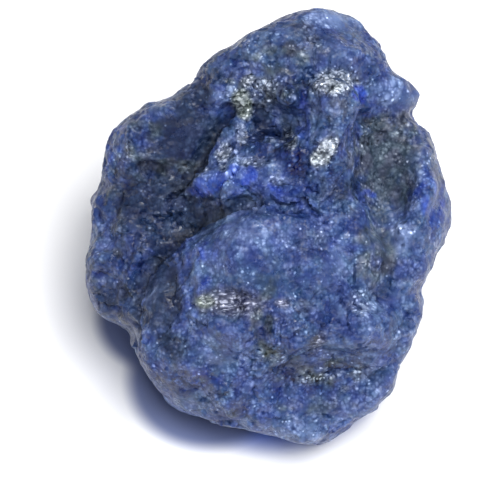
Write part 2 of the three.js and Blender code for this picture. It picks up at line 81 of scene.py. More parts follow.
# Patches on the show face, by what they are: each has its centre in U and V, its two half sizes,
# its turn in degrees and its strength. Lengths are in millimetres. Pale, vivid, slate, matrix and
# gold change the colour, flakes and streaks lie on it, and shade and light darken and lighten it.
PATCHES = {
    "pale": [
        ((-1.1, -0.6), (2.0, 1.1), -10, 0.8),
        ((0.6, -2.2), (5.6, 2.8), -4, 0.25),
        ((-3.2, -8.2), (1.8, 1.6), 0, 0.2),
        ((2.6, -13.6), (3.6, 1.4), 8, 0.45),
        ((7.6, -6.6), (2.0, 2.9), 0, 0.5),
        ((11.4, 0.4), (1.0, 1.6), 6, 0.1),
        ((9.3, -1.1), (0.9, 1.2), 0, 0.7),
        ((8.9, 9.3), (1.9, 1.2), 0, 0.8),
        ((4.2, 14.4), (2.0, 0.9), -20, 1.0),
        ((-2.7, 8.9), (1.6, 0.9), 0, 0.8),
        ((-8.8, -8.0), (0.9, 1.2), 10, 0.6),
        ((10.4, -5.4), (0.6, 1.7), -10, 0.5),
        ((-3.0, 5.6), (0.8, 0.8), 0, 0.6),
        ((-1.6, 3.8), (3.4, 1.4), 0, 0.5),
        ((7.8, -0.8), (1.6, 1.2), 0, 0.4),
        ((9.0, 0.4), (0.8, 2.4), 0, 0.7),
        ((10.4, 4.0), (0.8, 1.4), 0, 0.7),
        ((-5.1, -6.6), (0.8, 1.0), 0, 0.7),
        ((-8.2, -4.6), (0.9, 1.4), 0, 0.5),
        ((0.5, 3.2), (0.8, 0.7), 0, 0.6),
        ((-0.2, 10.2), (1.8, 0.6), 0, 0.5),
        ((8.9, -4.6), (0.8, 1.6), 0, 0.6),
        ((-7.0, -12.2), (3.0, 0.6), -28, 0.5),
    ],
    "vivid": [
        ((-1.7, 3.5), (1.1, 0.8), 0, 1.3),
        ((0.5, 3.0), (0.9, 0.9), 0, 0.8),
        ((-4.0, 2.9), (1.8, 0.9), 20, 0.9),
        ((-1.6, 4.6), (3.4, 1.4), 0, 0.45),
        ((-0.8, 2.6), (4.4, 1.2), 0, 0.55),
        ((6.3, 9.2), (0.7, 0.7), 0, 1.0),
        ((6.8, 2.2), (0.8, 0.4), -10, 0.8),
        ((2.5, 7.2), (0.6, 3.4), 0, 0.7),
        ((1.6, 1.6), (2.4, 0.6), 0, 0.6),
        ((11.3, 2.0), (1.2, 3.0), 6, 0.7),
        ((-4.2, -3.0), (1.6, 3.0), 0, 0.5),
        ((-5.1, -5.2), (0.8, 1.6), 0, 0.6),
        ((5.0, -1.6), (1.6, 1.2), 0, 0.45),
        ((3.3, -8.8), (0.9, 1.2), 0, 0.4),
        ((-4.5, -10.6), (1.7, 2.0), 0, 0.55),
        ((-10.7, 5.7), (1.0, 2.2), -20, 0.6),
        ((-5.0, -2.0), (1.0, 1.2), 0, 0.6),
        ((0.6, -3.2), (5.4, 3.0), -4, 0.35),
        ((-3.0, -9.4), (3.4, 1.6), 0, 0.3),
    ],
    # Slate is partly a dark skin of the stone and partly painted shade on facets turned from the
    # light and in clefts.
    "slate": [
        ((-6.0, 6.2), (2.8, 1.8), 20, 0.85),
        ((-7.2, 1.6), (3.6, 3.2), 0, 1.0),
        ((-4.7, 5.6), (1.1, 2.4), -28, 1.0),
        ((-7.3, -4.9), (1.4, 3.0), 0, 0.9),
        ((-5.0, 0.2), (2.6, 1.0), 30, 0.9),
        ((-10.8, -4.0), (2.4, 3.4), 0, 0.3),
        ((-4.8, 9.0), (3.0, 1.1), 32, 0.6),
        ((0.2, 6.4), (1.8, 2.0), 0, 0.45),
        ((3.2, 12.4), (2.0, 1.6), 0, 0.4),
        ((-1.8, 13.0), (2.6, 1.0), 30, 0.15),
        ((-0.6, 1.5), (2.4, 0.5), 10, 0.2),
        ((4.6, 2.6), (1.8, 0.9), 0, 0.5),
        ((11.4, 4.2), (1.0, 2.0), 10, 0.5),
        ((-4.4, -1.2), (1.3, 1.0), 30, 0.4),
        ((-4.8, -8.6), (2.6, 3.2), 0, 0.35),
        ((11.8, 0.0), (1.0, 3.0), 0, 0.25),
        ((-9.8, 6.4), (1.5, 1.5), 0, 0.5),
        ((-10.0, 3.4), (1.3, 1.8), 0, 0.45),
    ],
    "matrix": [
        ((8.2, 4.6), (2.8, 3.8), 0, 1.0),
        ((-8.4, 6.6), (1.4, 1.0), 0, 0.6),
        ((-10.7, 1.8), (0.9, 2.2), 0, 0.5),
        ((-1.6, 9.6), (1.8, 1.2), 0, 0.6),
        ((4.7, 7.6), (1.0, 2.0), 0, 0.5),
        ((4.7, 13.0), (0.8, 0.8), 0, 0.5),
        ((2.0, -12.4), (3.6, 0.8), 0, 0.45),
        ((9.4, -3.2), (1.0, 1.2), 0, 0.45),
        ((7.4, -1.8), (1.7, 3.2), 0, 0.7),
        ((0.0, -3.6), (0.8, 2.6), -8, 0.5),
        ((-0.3, -7.2), (1.1, 2.4), 6, 0.65),
        ((3.0, -9.6), (3.4, 0.8), 12, 0.5),
        ((-6.6, 4.2), (2.6, 0.7), 0, 0.7),
        ((-8.8, 4.6), (1.0, 2.2), 0, 0.6),
        ((4.6, -12.0), (3.0, 1.5), 0, 0.5),
        ((-10.8, -3.8), (1.8, 3.2), 0, 0.45),
        ((0.6, 11.6), (2.6, 1.5), -10, 0.55),
    ],
    "flakes": [
        ((-0.3, 8.9), (2.0, 0.8), 32, 0.6),
        ((-1.8, 8.4), (0.7, 1.3), 20, 0.95),
        ((4.5, 9.9), (1.9, 1.1), 10, 1.0),
        ((6.2, -5.2), (1.0, 1.2), 0, 0.55),
        ((3.9, 5.0), (1.2, 0.75), 50, 1.3),
        ((1.5, 6.0), (0.7, 0.9), 0, 0.75),
        ((-9.7, 5.3), (0.4, 1.2), -10, 0.6),
        ((3.6, -10.2), (2.8, 0.7), 10, 0.65),
        ((0.4, -9.2), (1.0, 0.8), 0, 0.5),
        ((-3.0, 5.0), (0.7, 1.0), 0, 0.85),
        ((-5.2, 3.9), (1.4, 0.5), 0, 0.6),
        ((-1.8, 6.4), (0.6, 0.8), 0, 0.7),
        ((0.6, 13.2), (1.4, 0.9), 0, 0.35),
        ((2.8, 12.8), (1.2, 1.6), 0, 0.4),
        ((3.2, -1.2), (2.2, 1.2), 0, 0.35),
        ((-7.0, 2.6), (2.6, 1.6), 0, 0.35),
        ((-5.0, -9.6), (2.4, 2.0), 0, 0.35),
        ((2.4, -5.6), (1.0, 0.7), 0, 0.55),
        ((6.4, -10.2), (0.8, 0.7), 0, 0.6),
        ((-3.0, -12.4), (3.2, 0.9), 0, 0.35),
        ((0.3, 5.6), (0.5, 0.6), 0, 0.45),
        ((-0.6, 9.9), (1.6, 0.6), -4, 0.85),
        ((-1.2, 4.4), (1.6, 0.5), 0, 0.6),
        ((-3.1, 4.2), (0.5, 0.6), 0, 0.7),
        ((0.6, 3.1), (0.7, 0.7), 0, 0.6),
        ((7.0, 6.6), (1.0, 1.4), 0, 0.45),
    ],
    "streaks": [
        ((-2.5, -5.3), (2.2, 0.95), -6, 0.9),
        ((-4.4, -5.3), (0.6, 0.8), 0, 0.9),
        ((1.0, -5.3), (0.5, 0.35), -8, 0.8),
        ((3.3, -8.0), (0.9, 0.5), 50, 0.8),
    ],
    "gold": [
        ((-4.3, -5.2), (0.9, 0.7), 0, 1.0),
        ((-1.8, 8.4), (0.8, 1.3), 20, 1.1),
        ((1.2, 9.4), (1.6, 0.8), 20, 0.7),
        ((3.6, 4.8), (1.0, 0.8), 0, 0.6),
        ((4.9, 9.8), (1.6, 0.8), 10, 0.5),
        ((0.2, -9.0), (0.8, 0.7), 0, 0.8),
        ((3.4, -10.6), (1.8, 0.6), 0, 0.7),
        ((-2.5, -13.0), (0.7, 0.4), 0, 0.7),
    ],
    "shade": [
        ((-8.2, 6.0), (1.3, 0.9), 0, 0.75),
        ((-10.7, 6.0), (0.8, 0.9), 0, 0.7),
        ((-10.2, 4.2), (1.0, 1.3), 0, 0.3),
        ((-5.4, 4.6), (1.2, 0.7), 0, 0.6),
        ((-3.7, 1.8), (0.8, 0.6), 0, 0.5),
        ((-9.3, 3.2), (0.9, 0.9), 0, 0.6),
        ((-9.0, -0.4), (1.1, 1.4), 0, 0.45),
        ((-5.0, -1.0), (0.9, 0.8), 0, 0.6),
        ((-1.6, -3.4), (1.0, 1.9), 30, 0.45),
        ((-6.5, -5.2), (0.7, 0.9), 0, 0.6),
        ((-8.6, -8.6), (1.0, 1.0), 0, 0.4),
        ((0.8, -9.8), (1.3, 1.8), 0, 0.8),
        ((3.4, -10.8), (1.3, 0.9), 0, 1.2),
        ((1.9, 8.8), (0.8, 0.9), 0, 1.1),
        ((5.4, 8.6), (1.6, 0.7), 0, 0.5),
        ((-9.3, -2.4), (0.8, 0.7), 0, 0.6),
        ((1.9, -6.8), (0.9, 1.9), 0, 0.6),
        ((-2.3, -12.2), (0.8, 0.8), 0, 0.6),
        ((-7.2, -9.8), (1.2, 1.2), 0, 0.5),
        ((7.5, -2.6), (0.8, 0.8), 0, 0.5),
        ((8.4, -8.2), (1.3, 1.2), 0, 0.35),
        ((6.1, -10.0), (0.9, 1.4), 0, 0.75),
        ((7.5, -8.0), (0.8, 0.8), 0, 0.5),
        ((-5.3, -10.8), (2.3, 0.9), 0, 0.85),
        ((0.5, 0.4), (0.9, 0.8), 0, 0.5),
        ((0.3, 5.6), (1.6, 1.0), 0, 0.75),
        ((11.7, 3.2), (0.8, 1.0), 0, 0.5),
        ((4.7, 5.9), (0.8, 0.8), 0, 0.5),
        ((4.7, 3.2), (0.8, 0.7), 0, 0.35),
        ((2.7, -8.0), (1.1, 0.7), 0, 0.5),
        ((1.9, 4.4), (0.7, 1.1), 0, 1.5),
        ((4.8, 6.9), (0.9, 1.2), 0, 0.4),
        ((1.9, 9.8), (0.8, 1.1), 0, 0.6),
        ((8.9, 7.4), (0.9, 0.7), 0, 0.5),
        ((11.0, 1.6), (1.0, 2.4), 0, 0.4),
        ((3.9, 13.4), (1.4, 1.2), 0, 0.3),
    ],
    "light": [
        ((0.5, 1.8), (1.9, 0.7), 0, 0.9),
        ((0.5, 3.2), (0.8, 0.8), 0, 0.7),
        ((-2.3, 0.4), (0.8, 0.7), 0, 0.4),
        ((4.7, -1.4), (0.8, 1.3), 0, 0.8),
        ((8.9, -0.7), (0.8, 1.6), 0, 1.2),
        ((8.6, 1.8), (1.1, 0.8), 0, 0.5),
        ((-10.7, -1.0), (0.9, 0.9), 0, 0.6),
        ((-8.3, -4.6), (1.2, 1.2), 0, 0.5),
        ((-0.9, 1.8), (0.8, 0.6), 0, 1.6),
        ((1.9, 1.7), (0.8, 0.7), 0, 1.2),
        ((4.7, 14.4), (0.9, 0.7), 0, 0.6),
        ((-7.9, -3.2), (0.8, 1.3), 0, 0.5),
        ((7.4, -0.2), (0.7, 1.2), 0, 0.5),
        ((9.0, -5.0), (0.9, 1.4), 0, 0.5),
        ((9.0, -10.0), (0.9, 1.2), 0, 0.6),
        ((4.7, -13.6), (0.9, 0.7), 0, 0.6),
        ((-9.3, -8.0), (0.8, 0.8), 0, 0.8),
        ((1.6, 7.4), (1.4, 0.8), 0, 0.7),
        ((-0.2, 10.2), (1.6, 0.7), 0, 0.5),
        ((3.3, 8.8), (0.8, 0.8), 0, 0.5),
        ((3.3, 4.4), (0.6, 0.7), 0, 0.4),
        ((-1.6, 12.4), (2.6, 0.9), 25, 0.35),
        ((4.7, 11.6), (0.8, 0.8), 0, 0.4),
        ((-3.7, 7.6), (0.8, 0.8), 0, 0.4),
        ((-5.8, 1.8), (1.3, 0.9), 0, 0.4),
        ((-2.3, -6.6), (0.8, 0.7), 0, 0.4),
    ],
}

# Broken faces that stay smooth: centre in U and V and two half sizes, in millimetres.
SMOOTH_FACES = [
    ((-6.2, 6.2), (3.0, 1.8)),
    ((5.0, -12.0), (3.0, 1.4)),
    ((-7.3, -4.6), (1.2, 2.6)),
    ((3.6, 13.2), (2.4, 1.8)),
    ((-1.8, -1.6), (4.0, 2.6)),
    ((-3.4, -8.4), (1.6, 1.4)),
    ((8.8, 8.8), (1.8, 1.4)),
    ((11.8, 1.4), (1.4, 3.4)),
    ((8.4, 4.6), (1.7, 3.6)),
    ((7.4, -1.8), (1.5, 3.0)),
    ((5.6, -1.8), (1.4, 1.6)),
    ((4.9, -9.2), (1.9, 1.2)),
]

# Narrow cracks between the broken pieces: depth, width and the points they pass through in U
# and V, all in millimetres. A depth below nothing fills a groove instead. Only part of a depth
# is cut into the mesh, and painted shade along the cracks shows the rest.
CRACKS = [
    (0.40, 0.40, [(-5.6, 4.0), (-4.8, 4.8), (-3.5, 6.7), (-2.4, 7.8), (-1.7, 9.0)]),
    (0.35, 0.35, [(2.6, 10.6), (2.4, 8.4), (2.6, 6.0), (2.3, 3.2)]),
    (0.30, 0.30, [(-6.0, -5.0), (-6.6, -6.4), (-7.2, -7.8)]),
    (0.10, 0.30, [(-0.3, -9.2), (2.2, -9.9), (5.6, -9.6), (8.0, -10.4)]),
    (0.25, 0.30, [(-5.0, -4.7), (-3.0, -4.4), (-0.8, -5.0)]),
    (0.20, 0.30, [(6.6, 7.8), (8.6, 7.4), (10.4, 7.9)]),
    (0.20, 0.30, [(-2.6, 7.6), (-0.6, 8.0), (1.2, 9.6), (2.8, 10.4)]),
    (-0.60, 0.60, [(6.9, 8.2), (6.8, 5.6), (6.7, 2.4), (6.4, -1.0)]),
]

# Ledges with a step behind them and painted shadow on the step: depth of the step, how far its
# painted shadow reaches, and their points with the step on the left, all in millimetres.
LEDGES = [
    (0.50, 1.5, [(-8.8, -7.6), (-8.75, -5.5), (-8.2, -3.7), (-7.4, -2.6), (-6.0, -1.2),
                 (-4.5, -0.1), (-3.2, 0.5), (-1.9, 1.0), (-0.6, 1.25)]),
    (0.40, 1.3, [(-6.0, 2.4), (-4.4, 3.9), (-4.0, 5.0), (-3.6, 6.2), (-3.0, 6.9)]),
    (0.15, 0.8, [(-1.0, 2.1), (-3.6, 1.9), (-6.0, 2.2)]),
    (0.20, 0.8, [(-6.4, -4.9), (-6.3, -3.4), (-6.0, -2.7)]),
]

# Small pushes of the outline, outwards or inwards: distance, centre in U and V and half sizes.
PUSHES = [
    (0.40, (11.1, -3.3), (1.4, 1.1)),
    (0.32, (7.9, -12.2), (1.6, 1.6)),
    (0.25, (11.3, 6.1), (1.0, 1.3)),
    (0.12, (10.3, 8.8), (0.8, 0.7)),
    (-0.25, (10.3, 7.7), (0.6, 0.6)),
    (-0.25, (-7.1, 8.9), (1.0, 0.8)),
    (-0.25, (-11.8, 2.8), (0.8, 0.7)),
    (-0.28, (-1.3, 13.4), (2.4, 1.6)),
]

# Thin pale rims where a broken edge catches the light: strength, then their points.
RIMS = [
    (1.0, [(-8.5, -5.2), (-8.5, -3.5), (-7.9, -2.6)]),
    (1.0, [(-6.3, -2.5), (-6.1, -3.5), (-5.5, -5.0)]),
    (0.8, [(-6.3, -6.4), (-7.1, -7.7)]),
    (0.8, [(-7.7, -11.6), (-6.2, -12.7), (-4.0, -13.6), (-1.1, -14.3), (2.2, -15.0)]),
    (0.7, [(-7.0, -1.9), (-5.6, -0.7), (-4.2, 0.2), (-2.6, 0.9)]),
    (0.6, [(10.5, -3.8), (10.7, -5.4), (10.2, -7.2)]),
    (0.6, [(-1.9, 0.5), (-1.4, -0.5), (-1.9, -1.4)]),
    (0.6, [(-10.6, 7.2), (-9.6, 8.2)]),
    (0.6, [(-2.8, 0.3), (-2.3, -0.9), (-2.7, -1.7)]),
    (0.5, [(-0.6, -0.4), (0.8, -1.2), (1.9, -1.6)]),
]

CRACK_CUT = 0.5  # share of a crack's depth that is cut
# The next two give painted shade: along cracks, and on the steps behind ledges.
CRACK_DARKNESS = 1.6  # of a crack, for each millimetre of its depth
LEDGE_DARKNESS = 2.2  # behind a ledge, for each millimetre of its step
RIM_WIDTH = 0.16  # in millimetres
WANDER = 0.22  # how far cracks, ledges and rims stray from their points, in millimetres

# Rounds of evening out over the neighbours: more of them reach further.
NORMAL_ROUNDS = 10
HEIGHT_ROUNDS = 160  # leaves only the broad swelling, which is taken off again
# What is kept of how far a point stands out of its surroundings: the rounds that even them out,
# and the span of heights that takes the value from 0 to 1.
SURROUNDINGS = {"edge": (8, 0.10 * MM), "raised": (70, 0.90 * MM), "ridge": (5, 0.09 * MM)}

# Grains that only the material shows: size in millimetres, and how strongly they show.
SMALL_GRAINS = ((0.22, 1.5), (0.42, 1.15), (0.85, 0.5))
# Sparks, which are painted glints: size in millimetres, and how rare they are.
SPARKS = ((0.24, 1.08), (0.36, 1.09), (0.58, 1.13))
CORUNDUM_IOR = 1.77

# What the colours are multiplied by where they lean to teal or to violet.
TEAL_LEAN = (0.91, 1.03, 0.98)
VIOLET_LEAN = (1.08, 0.98, 1.02)
DISPLAY_GAMMA = 2.2  # light to what the eye sees of it
EYE_WEIGHTS = (0.3, 0.6, 0.1)  # what red, green and blue add to lightness
DARKEST = (0.04, 0.04, 0.06)  # the darkest colour, as the eye sees it

# Places on the floor round the stone's foot with painted blue light and painted shadow: centre in X
# and Y and half sizes, in millimetres, and the colour that the paper takes there.
PAINTED_FOOT_LIGHT_AND_SHADOW = [
    ((0.2, -2.2), (8.8, 10.1), (0.20, 0.33, 0.92)),
    ((-4.4, -6.0), (5.7, 6.4), (0.20, 0.24, 0.42)),
    ((-7.2, -0.6), (5.2, 5.0), (0.20, 0.24, 0.42)),
]
PAPER_COLOUR = (0.93, 0.93, 0.94)
SKY_COLOUR = (0.97, 0.985, 1.03)

# The lights' places and the sides of their squares, in metres.
KEY_PLACE, KEY_SIDE = (0.125, -0.175, 0.44), 0.36
GLINT_PLACE, GLINT_SIDE = (0.07, 0.08, 0.48), 0.12

AIM_U, AIM_V = -1.26, -1.68  # where the camera looks, in millimetres from the face's origin
SENSOR_WIDTH = 36  # of the camera, in millimetres


class StoneSettings(bpy.types.PropertyGroup):
    """Sizes and colours of the stone."""

    step: FloatProperty(
        name="Surface step",
        description="Spacing of the points that carry the crystals",
        default=0.184 * MM,
        min=0.1 * MM,
        precision=6,
        subtype="DISTANCE",
    )
    chunk: FloatProperty(
        name="Chunks",
        description="Size of the largest broken crystals",
        default=3.0 * MM,
        precision=5,
        subtype="DISTANCE",
    )
    grain: FloatProperty(
        name="Grains",
        description="Size of the ordinary crystals",
        default=1.2 * MM,
        precision=5,
        subtype="DISTANCE",
    )
    chip: FloatProperty(
        name="Chips",
        description="Size of the smallest modelled chips",
        default=0.52 * MM,
        precision=5,
        subtype="DISTANCE",
    )
    relief: FloatProperty(
        name="Relief",
        description="How strongly the crystals stand out",
        default=0.34,
        min=0,
        max=1,
        subtype="FACTOR",
    )
    seed: IntProperty(name="Seed", description="Another number gives other crystals", default=7)
    # Painted shade: hollows, cracks and the steps behind ledges are darkened towards these two
    # colours, the second where slate lies.
    deep: FloatVectorProperty(
        name="Deep blue",
        description="Near-black blue of cracks and hollows",
        default=(0.006, 0.012, 0.042),
        subtype="COLOR",
    )
    dark: FloatVectorProperty(
        name="Dark",
        description="Near-black grey of hollows in the slate",
        default=(0.008, 0.013, 0.022),
        subtype="COLOR",
    )
    royal: FloatVectorProperty(
        name="Royal blue",
        description="Strong blue of clear crystals",
        default=(0.019, 0.040, 0.149),
        subtype="COLOR",
    )
    steel: FloatVectorProperty(
        name="Steel blue",
        description="Lighter, greyer blue of cloudy crystals",
        default=(0.038, 0.069, 0.170),
        subtype="COLOR",
    )
    # Pale blue: milky bruising, and painted light on raised places.
    pale: FloatVectorProperty(
        name="Pale blue",
        description="Milky blue of bruised and raised places",
        default=(0.12, 0.18, 0.36),
        subtype="COLOR",
    )
    vivid: FloatVectorProperty(
        name="Vivid blue",
        description="Clear blue windows",
        default=(0.014, 0.042, 0.30),
        subtype="COLOR",
    )
    # Slate: a dark skin, and partly painted shade on facets turned from the light and in clefts.
    slate: FloatVectorProperty(
        name="Slate",
        description="Dark, greyish blue skin",
        default=(0.009, 0.019, 0.058),
        subtype="COLOR",
    )
    matrix: FloatVectorProperty(
        name="Matrix",
        description="Bluish-grey mineral between the crystals",
        default=(0.046, 0.061, 0.090),
        subtype="COLOR",
    )
    frost: FloatVectorProperty(
        name="Frost",
        description="Pale grey under the flakes",
        default=(0.095, 0.115, 0.145),
        subtype="COLOR",
    )
    streak: FloatVectorProperty(
        name="Streaks",
        description="Pale grey under plates seen edge on",
        default=(0.11, 0.11, 0.14),
        subtype="COLOR",
    )
    gold: FloatVectorProperty(
        name="Yellow flakes",
        description="Greenish grey, which looks yellowish beside the blue",
        default=(0.088, 0.110, 0.098),
        subtype="COLOR",
    )


class StageSettings(bpy.types.PropertyGroup):
    """Sizes and strengths of the floor, the lights and the camera."""

    floor_size: FloatProperty(
        name="Floor",
        description="Side of the square floor",
        default=1.2,
        subtype="DISTANCE",
    )
    sky: FloatProperty(
        name="Surrounding light",
        description="Strength of the even light from all round",
        default=0.34,
    )
    key: FloatProperty(
        name="Key light",
        description="Power of the large soft light above, in front and to the right",
        default=4.15,
        unit="POWER",
    )
    glint: FloatProperty(
        name="Glint light",
        description="Power of the light overhead that the crystals reflect",
        default=1.0,
        unit="POWER",
    )
    camera_distance: FloatProperty(
        name="Camera distance",
        description="From the camera to the middle of the stone",
        default=0.3,
        subtype="DISTANCE",
    )
    view_width: FloatProperty(
        name="View width",
        description="Width of the scene that the camera sees at the stone",
        default=35 * MM,
        precision=5,
        subtype="DISTANCE",
    )


def select_only(piece):
    """Makes one object the only selected and active one."""
    bpy.ops.object.select_all(action="DESELECT")
    piece.select_set(True)
    bpy.context.view_layer.objects.active = piece


def apply_modifier(piece, kind, **settings):
    """Adds a modifier to a piece and applies it."""
    modifier = piece.modifiers.new(kind.title(), kind)
    for name, value in settings.items():
        setattr(modifier, name, value)
    select_only(piece)
    bpy.ops.object.modifier_apply(modifier=modifier.name)


def copy_of_node(node, name):
    """A loose copy of a CAD node's mesh, with its doubles merged."""
    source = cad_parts[node]
    piece = bpy.data.objects.new(name, source.data.copy())
    piece.data.name = name
    piece.data.materials.clear()
    bpy.context.scene.collection.objects.link(piece)
    select_only(piece)
    bpy.ops.object.mode_set(mode="EDIT")
    bpy.ops.mesh.select_all(action="SELECT")
    bpy.ops.mesh.remove_doubles(threshold=0.001 * MM)
    bpy.ops.object.mode_set(mode="OBJECT")
    return piece


def mesh_points(mesh):
    """A mesh's points, as rows of three."""
    points = np.empty(3 * len(mesh.vertices))
    mesh.vertices.foreach_get("co", points)
    return points.reshape(-1, 3)


def mesh_normals(mesh):
    """A mesh's point normals, as rows of three."""
    normals = np.empty(3 * len(mesh.vertices))
    mesh.vertices.foreach_get("normal", normals)
    return normals.reshape(-1, 3)


def set_points(mesh, points):
    """Moves a mesh's points."""
    mesh.vertices.foreach_set("co", points.ravel())
    mesh.update()


def store(mesh, name, values):
    """Keeps one number for each point on the mesh, for its material."""
    attribute = mesh.attributes.new(name, "FLOAT", "POINT")
    attribute.data.foreach_set("value", values.astype(np.float32))


def neighbour_mean(mesh, values, rounds):
    """Values evened out over the surface by averaging with the neighbours."""
    ends = np.empty(2 * len(mesh.edges), np.int32)
    mesh.edges.foreach_get("vertices", ends)
    a, b = ends.reshape(-1, 2).T
    count = np.bincount(ends, minlength=len(values))
    columns = values.reshape(len(values), -1).copy()
    for _ in range(rounds):
        for c in range(columns.shape[1]):
            column = columns[:, c]
            total = np.bincount(a, column[b], len(column)) + np.bincount(b, column[a], len(column))
            columns[:, c] = 0.5 * column + 0.5 * total / count
    return columns.reshape(values.shape)


def smoothstep(low, high, x):
    """0 below low, 1 above high and smooth in between."""
    t = np.clip((x - low) / (high - low), 0, 1)
    return t * t * (3 - 2 * t)


def face_coordinates(points):
    """U and V of points over the show face, in millimetres."""
    away = (points - FACE_ORIGIN) / MM
    return away @ FACE_U, away @ FACE_V


def patch_shade(u, v, centre, half, turn=0.0):
    """1 in the middle of an oval patch, falling smoothly to 0 past its edge."""
    c, s = math.cos(math.radians(turn)), math.sin(math.radians(turn))
    du, dv = u - centre[0], v - centre[1]
    across = (c * du + s * dv) / half[0]
    along = (c * dv - s * du) / half[1]
    return 1 - smoothstep(0.45, 1.45, np.hypot(across, along))


def stretch_away(u, v, start, end):
    """How far points are from a straight stretch, and their side of it, above 0 on the left."""
    du, dv = end[0] - start[0], end[1] - start[1]
    from_u, from_v = u - start[0], v - start[1]
    t = np.clip((from_u * du + from_v * dv) / (du * du + dv * dv), 0, 1)
    return np.hypot(from_u - t * du, from_v - t * dv), du * from_v - dv * from_u


def line_shade(u, v, points, width):
    """1 on a line through points, falling smoothly to 0 beside it."""
    nearest = np.full(len(u), np.inf)
    for start, end in zip(points, points[1:]):
        nearest = np.minimum(nearest, stretch_away(u, v, start, end)[0])
    return np.exp(-((nearest / width) ** 2))


def ledge_shade(u, v, points, reach):
    """1 just beyond a ledge, on the left of its points, fading out over its reach; 0 before it."""
    nearest = np.full(len(u), np.inf)
    side = np.zeros(len(u))
    for start, end in zip(points, points[1:]):
        away, leftward = stretch_away(u, v, start, end)
        closer = away < nearest
        nearest[closer] = away[closer]
        side[closer] = leftward[closer]
    beyond = np.where(side > 0, nearest, -nearest)
    return smoothstep(-0.04, 0.14, beyond) * (1 - smoothstep(0.25 * reach, reach, beyond))


def broken_crystals(points, normals, size, seed):
    """Heights of blocky crystals along each normal, and a random number for each one's points."""
    planes, near = 11, 5  # flat sides of a crystal, and crystals that may cover a point
    random = np.random.default_rng(seed)
    order = random.permutation(len(points))
    cells = np.floor(points[order] / size).astype(int)
    seeds = order[np.unique(cells, axis=0, return_index=True)[1]]
    count = len(seeds)
    centres = points[seeds] - normals[seeds] * size * random.uniform(0.15, 0.6, (count, 1))
    facing = random.normal(size=(count, planes, 3))
    facing /= np.linalg.norm(facing, axis=2, keepdims=True)
    reach = size * random.uniform(0.45, 0.85, (count, 1))
    reach = reach * random.uniform(0.8, 1.0, (count, planes))
    tint = random.uniform(size=count)
    tree = KDTree(count)
    for i, centre in enumerate(points[seeds]):
        tree.insert(centre, i)
    tree.balance()
    nearest = np.array([[i for _, i, _ in tree.find_n(p, near)] for p in points])
    height = np.full(len(points), -np.inf)
    owner = nearest[:, 0].copy()
    for crystal in nearest.T:
        slope = np.einsum("npc,nc->np", facing[crystal], normals)
        slope = np.where(np.abs(slope) < 1e-4, 1e-4, slope)
        gap = reach[crystal] - np.einsum("npc,nc->np", facing[crystal], points - centres[crystal])
        crossing = gap / slope
        leave = np.where(slope > 0, crossing, np.inf).min(axis=1)
        enter = np.where(slope < 0, crossing, -np.inf).max(axis=1)
        top = np.where(enter < leave, leave, -np.inf)
        higher = top > height
        height[higher] = top[higher]
        owner[higher] = crystal[higher]
    lowest, highest = -0.15 * size, 0.6 * size
    height = np.clip(height, lowest, highest)
    return height - height.mean(), tint[owner]


def cloud(points, size, octaves, offset):
    """Soft noise at points, from about -1 to 1; another offset gives other lumps."""
    shift = Vector((offset, 2.3 * offset, -1.7 * offset))
    return np.array([noise.fractal(Vector(p) / size + shift, 1.0, 2.0, octaves) for p in points])


def standing_out(mesh, points, normals, rounds, span):
    """How far points stand out of their surroundings: 0.5 where they are level with them."""
    out = ((points - neighbour_mean(mesh, points, rounds)) * normals).sum(axis=1)
    return np.clip(0.5 + out / span, 0, 1)


